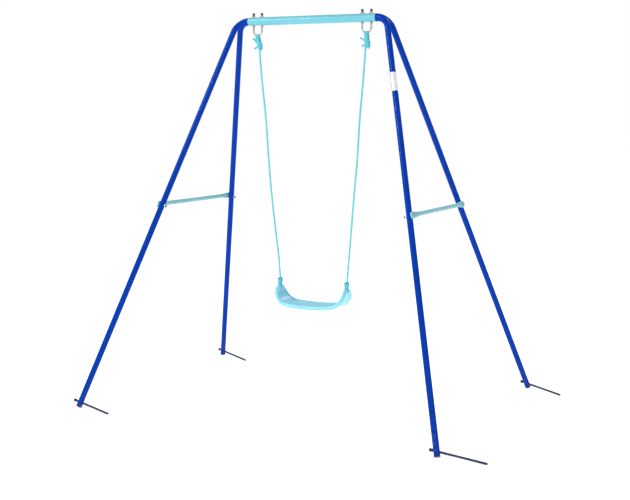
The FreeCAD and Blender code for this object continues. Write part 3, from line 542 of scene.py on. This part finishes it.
class Finish:
    # one material, its nodes added by name
    def __init__(self, name, colour, roughness, **sockets):
        self.material = bpy.data.materials.new(name)
        self.material.use_nodes = True
        self.tree = self.material.node_tree
        self.surface = self.tree.nodes["Principled BSDF"]
        self.surface.inputs["Base Color"].default_value = (*colour, 1)
        self.surface.inputs["Roughness"].default_value = roughness
        for socket, value in sockets.items():
            self.surface.inputs[socket.replace("_", " ")].default_value = value

    def add(self, kind, settings, sockets, output=0):
        node = self.tree.nodes.new(kind)
        for setting, value in settings.items():
            setattr(node, setting, value)
        for socket, value in sockets.items():
            self.feed(node.inputs[socket], value)
        return Wire(self, node.outputs[output])

    def feed(self, target, value):
        if isinstance(value, Wire):
            self.tree.links.new(value.socket, target)
        else:
            target.default_value = value

    def place(self, stretch=(1, 1, 1), turn=(0, 0, 0)):
        where = self.add("ShaderNodeTexCoord", {}, {}, "Object")
        return self.add("ShaderNodeMapping", {}, {"Vector": where, "Scale": stretch, "Rotation": turn})

    def cloud(self, scale, detail=3.0, roughness=0.55, where=None):
        sockets = {"Scale": scale, "Detail": detail, "Roughness": roughness}
        sockets["Vector"] = where or self.place()
        return self.add("ShaderNodeTexNoise", {}, sockets, "Fac")

    def band(self, value, low, high, start=0.0, end=1.0):
        sockets = {"Value": value, "From Min": low, "From Max": high, "To Min": start, "To Max": end}
        return self.add("ShaderNodeMapRange", {"interpolation_type": "SMOOTHSTEP"}, sockets)

    def mix(self, share, first, second):
        sockets = {"Factor": share}
        sockets[6] = first if isinstance(first, Wire) else (*first, 1)
        sockets[7] = second if isinstance(second, Wire) else (*second, 1)
        return self.add("ShaderNodeMix", {"data_type": "RGBA"}, sockets, 2)

    def height(self):
        where = self.add("ShaderNodeTexCoord", {}, {}, "Object")
        return self.add("ShaderNodeSeparateXYZ", {}, {"Vector": where}, "Z")

    def paint(self, colour=None, roughness=None, bump=None, depth=0.0005, strength=0.3):
        if colour:
            self.feed(self.surface.inputs["Base Color"], colour)
        if roughness:
            self.feed(self.surface.inputs["Roughness"], roughness)
        if bump:
            rise = self.add("ShaderNodeBump", {}, {"Height": bump, "Distance": depth, "Strength": strength},
                            "Normal")
            self.feed(self.surface.inputs["Normal"], rise)
        return self.material


tints = {
    "legs": (0.0, 0.041, 0.37),
    "legsDeep": (0.0, 0.034, 0.31),
    "bar": (0.165, 0.510, 0.600),
    "barDeep": (0.145, 0.470, 0.560),
    "spreader": (0.200, 0.500, 0.560),
    "spreaderDeep": (0.170, 0.445, 0.505),
    "rope": (0.130, 0.690, 0.790),
    "ropeDeep": (0.030, 0.420, 0.520),
    "ropeEnd": (0.010, 0.120, 0.130),
    "seat": (0.250, 0.680, 0.840),
    "seatDeep": (0.215, 0.610, 0.775),
    "pegs": (0.004, 0.012, 0.085),
    "dust": (0.180, 0.165, 0.145),
}


def powderCoat(name, colour, deep, roughness, coat, shine):
    finish = Finish(name, colour, roughness, IOR=1.30, Coat_Weight=coat, Coat_Roughness=0.05,
                    Specular_IOR_Level=shine)
    patches = finish.band(finish.cloud(7.0, 3.0), 0.35, 0.65)
    peel = finish.cloud(900.0, 1.0)                    # fine orange peel of baked powder
    specks = finish.band(finish.cloud(260.0, 2.0), 0.70, 0.78)
    low = finish.band(finish.height(), 0.0, 0.16, 1.0, 0.0)
    grime = low * finish.band(finish.cloud(55.0, 5.0), 0.45, 0.75) * 0.35
    tone = finish.mix(patches * 0.45, colour, deep)
    tone = finish.mix(specks * 0.10, tone, deep)
    tone = finish.mix(grime, tone, tints["dust"])
    rough = patches * 0.05 + roughness + grime * 0.5 + specks * 0.05
    return finish.paint(tone, rough, peel, 0.00012, 0.35)


def chromePlate(name):
    finish = Finish(name, (0.62, 0.61, 0.62), 0.10, Metallic=1.0)
    mist = finish.band(finish.cloud(90.0, 4.0), 0.4, 0.7)
    lines = finish.cloud(1.0, 2.0, 0.6, finish.place((1500, 1500, 60)))
    tone = finish.mix(mist * 0.5, (0.62, 0.61, 0.62), (0.44, 0.43, 0.45))
    return finish.paint(tone, mist * 0.14 + 0.08, lines, 0.00008, 0.25)


def zincPlate(name):
    finish = Finish(name, (0.50, 0.51, 0.53), 0.35, Metallic=1.0)
    spangle = finish.add("ShaderNodeTexVoronoi", {}, {"Vector": finish.place(), "Scale": 420.0}, "Distance")
    stain = finish.band(finish.cloud(160.0, 4.0), 0.45, 0.7)
    tone = finish.mix(spangle, (0.56, 0.57, 0.59), (0.38, 0.39, 0.41))
    tone = finish.mix(stain * 0.35, tone, (0.24, 0.23, 0.21))
    return finish.paint(tone, spangle * 0.18 + 0.28, spangle, 0.0001, 0.3)


def vinyl(name, colour, roughness):
    finish = Finish(name, colour, roughness)
    pores = finish.cloud(1400.0, 2.0)
    scuff = finish.band(finish.cloud(120.0, 5.0), 0.58, 0.75)
    tone = finish.mix(scuff * 0.4, colour, (0.07, 0.07, 0.075))
    return finish.paint(tone, pores * 0.15 + (roughness - 0.05) + scuff * 0.12, pores, 0.0001, 0.4)


def ropeFibre(name):
    finish = Finish(name, tints["rope"], 0.55, Sheen_Weight=0.35, Sheen_Roughness=0.45)
    lay = finish.add("ShaderNodeUVMap", {"uv_map": "lay"}, {})
    parted = finish.add("ShaderNodeSeparateXYZ", {}, {"Vector": lay}, "X")
    along = finish.add("ShaderNodeSeparateXYZ", {}, {"Vector": lay}, "Y")
    twisted = parted + along * rope["yarnTwist"]                    # yarns wind round each strand
    yarn = finish.add("ShaderNodeMath", {"operation": "SINE"}, {0: twisted * (2 * math.pi * rope["yarns"])})
    groove = finish.band(yarn, -1.0, -0.2, 1.0, 0.0)
    hairs = finish.cloud(1.0, 3.0, 0.6, finish.place((2600, 2600, 900)))
    worn = finish.band(finish.cloud(28.0, 4.0), 0.4, 0.7)
    # painted shade: the grooves between the yarns are painted in the deeper rope tint, as shade falling in
    # the creases
    tone = finish.mix(groove * 0.30, tints["rope"], tints["ropeDeep"])
    tone = finish.mix(hairs * 0.35, tone, tints["ropeDeep"])
    tone = finish.mix(worn * 0.25, tone, (0.26, 0.78, 0.86))
    tone = finish.mix(parted > rope["cutMark"] / 2, tone, tints["ropeEnd"])
    rise = yarn * 0.6 + hairs * 0.5
    return finish.paint(tone, hairs * 0.2 + 0.45, rise, 0.0004, 0.6)


def mouldedSeat(name):
    finish = Finish(name, tints["seat"], 0.34, Coat_Weight=0.12, Coat_Roughness=0.25,
                    Subsurface_Weight=0.04, Subsurface_Scale=0.01)
    swirl = finish.band(finish.cloud(9.0, 4.0), 0.35, 0.68)
    grain = finish.cloud(700.0, 3.0)
    scuff = finish.band(finish.cloud(1.0, 5.0, 0.7, finish.place((30, 12, 60))), 0.62, 0.74)
    tone = finish.mix(swirl * 0.5, tints["seat"], tints["seatDeep"])
    tone = finish.mix(scuff * 0.15, tone, (0.40, 0.74, 0.84))
    return finish.paint(tone, swirl * 0.06 + 0.30 + scuff * 0.15, grain, 0.00025, 0.35)


def pegPaint(name):
    finish = Finish(name, tints["pegs"], 0.38, Coat_Weight=0.1)
    chips = finish.band(finish.cloud(190.0, 5.0), 0.66, 0.70)
    dirt = finish.band(finish.cloud(45.0, 4.0), 0.45, 0.75) * 0.3
    tone = finish.mix(dirt, tints["pegs"], (0.05, 0.048, 0.05))
    tone = finish.mix(chips * 0.7, tone, (0.17, 0.17, 0.18))
    return finish.paint(tone, dirt * 0.5 + 0.34, finish.cloud(800.0, 1.0), 0.00012, 0.35)


def blankLabel(name):
    # a plain film with two faint colour fields, and nothing printed on it
    finish = Finish(name, (0.82, 0.83, 0.84), 0.32)
    low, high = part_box("leg_label")
    share = (finish.height() - low[2]) / (high[2] - low[2])
    upper = finish.band(share, 0.55, 0.58) * finish.band(share, 0.88, 0.91, 1.0, 0.0)
    lower = finish.band(share, 0.14, 0.17) * finish.band(share, 0.47, 0.50, 1.0, 0.0)
    tone = finish.mix(upper * 0.5, (0.82, 0.83, 0.84), (0.78, 0.62, 0.62))
    tone = finish.mix(lower * 0.5, tone, (0.62, 0.74, 0.68))
    creases = finish.cloud(1.0, 3.0, 0.5, finish.place((300, 300, 40)))
    return finish.paint(tone, creases * 0.12 + 0.28, creases, 0.0001, 0.3)


finishes = {
    "leg_paint": powderCoat("deepBluePaint", tints["legs"], tints["legsDeep"], 0.20, 0.03, 0.10),
    "bar_paint": powderCoat("paleCyanPaint", tints["bar"], tints["barDeep"], 0.36, 0.10, 0.5),
    "chrome_rod": chromePlate("brightRod"),
    "zinc_steel": zincPlate("zincFastener"),
    "black_plastic": vinyl("blackCap", (0.012, 0.012, 0.013), 0.45),
    "foot_cap_plastic": vinyl("footCap", (0.004, 0.010, 0.060), 0.50),
    "label_film": blankLabel("labelFilm"),
    "rope_fibre": ropeFibre("cyanRope"),
    "seat_plastic": mouldedSeat("seatPlastic"),
    "peg_paint": pegPaint("navyPeg"),
}

spreaderFinish = powderCoat("greyCyanPaint", tints["spreader"], tints["spreaderDeep"], 0.40, 0.05, 0.5)

for entry in frame["record"]["subparts"]:
    node = nodes[entry["node"]]
    spreader = entry["node"] in ("spreader_left", "spreader_right")
    node.data.materials.clear()
    node.data.materials.append(spreaderFinish if spreader else finishes[entry["material_slot"]])
for piece in bpy.context.scene.objects:
    if piece.name.startswith(("swing_rope", "top_knot", "low_knot")):
        piece.data.materials.clear()
        piece.data.materials.append(finishes["rope_fibre"])
seat.data.materials.clear()
seat.data.materials.append(finishes["seat_plastic"])
print("finishes on")


# floor and light
studio = {
    "floor": 60.0,
    "floorTint": (0.93, 0.935, 0.94),
    "backdrop": 1.0,         # what the camera sees behind the floor
    "sky": 0.55,             # what lights the object
    "floorGlow": 0.57,
    "lamps": [
        {"name": "key", "place": (-3.5, -4.5, 5.0), "aim": (0, 0, 0.9), "size": 1.6, "power": 230},
        {"name": "fill", "place": (4.5, -4.0, 3.0), "aim": (0, 0, 0.9), "size": 2.0, "power": 40},
        {"name": "back", "place": (1.0, 5.0, 4.5), "aim": (0, 0, 1.0), "size": 2.0, "power": 90},
    ],
}


def makeStudio():
    pickNothing()
    bpy.ops.mesh.primitive_plane_add(size=studio["floor"], location=(0, 0, 0))
    floor = bpy.context.object
    floor.name = "floor"
    finish = Finish("paperFloor", studio["floorTint"], 0.8)
    finish.surface.inputs["Emission Color"].default_value = (*studio["floorTint"], 1)
    finish.surface.inputs["Emission Strength"].default_value = studio["floorGlow"]
    floor.data.materials.append(finish.paint(None, finish.cloud(3.0) * 0.1 + 0.75))
    world = bpy.data.worlds.new("studio")
    world.use_nodes = True
    sky = world.node_tree.nodes["Background"]
    sky.inputs["Color"].default_value = (1, 1, 1, 1)
    ray = world.node_tree.nodes.new("ShaderNodeLightPath")
    level = world.node_tree.nodes.new("ShaderNodeMapRange")
    level.inputs["To Min"].default_value = studio["sky"]
    level.inputs["To Max"].default_value = studio["backdrop"]
    world.node_tree.links.new(ray.outputs["Is Camera Ray"], level.inputs["Value"])
    world.node_tree.links.new(level.outputs["Result"], sky.inputs["Strength"])
    bpy.context.scene.world = world
    for lamp in studio["lamps"]:
        light = bpy.data.lights.new(lamp["name"], "AREA")
        light.shape = "DISK"
        light.size, light.energy = lamp["size"], lamp["power"]
        holder = bpy.data.objects.new(lamp["name"], light)
        bpy.context.scene.collection.objects.link(holder)
        aim = Vector(lamp["aim"]) - Vector(lamp["place"])
        holder.location = lamp["place"]
        holder.rotation_euler = aim.to_track_quat("-Z", "Y").to_euler()
    bpy.context.scene.view_settings.view_transform = "Standard"


makeStudio()
print("studio lit")
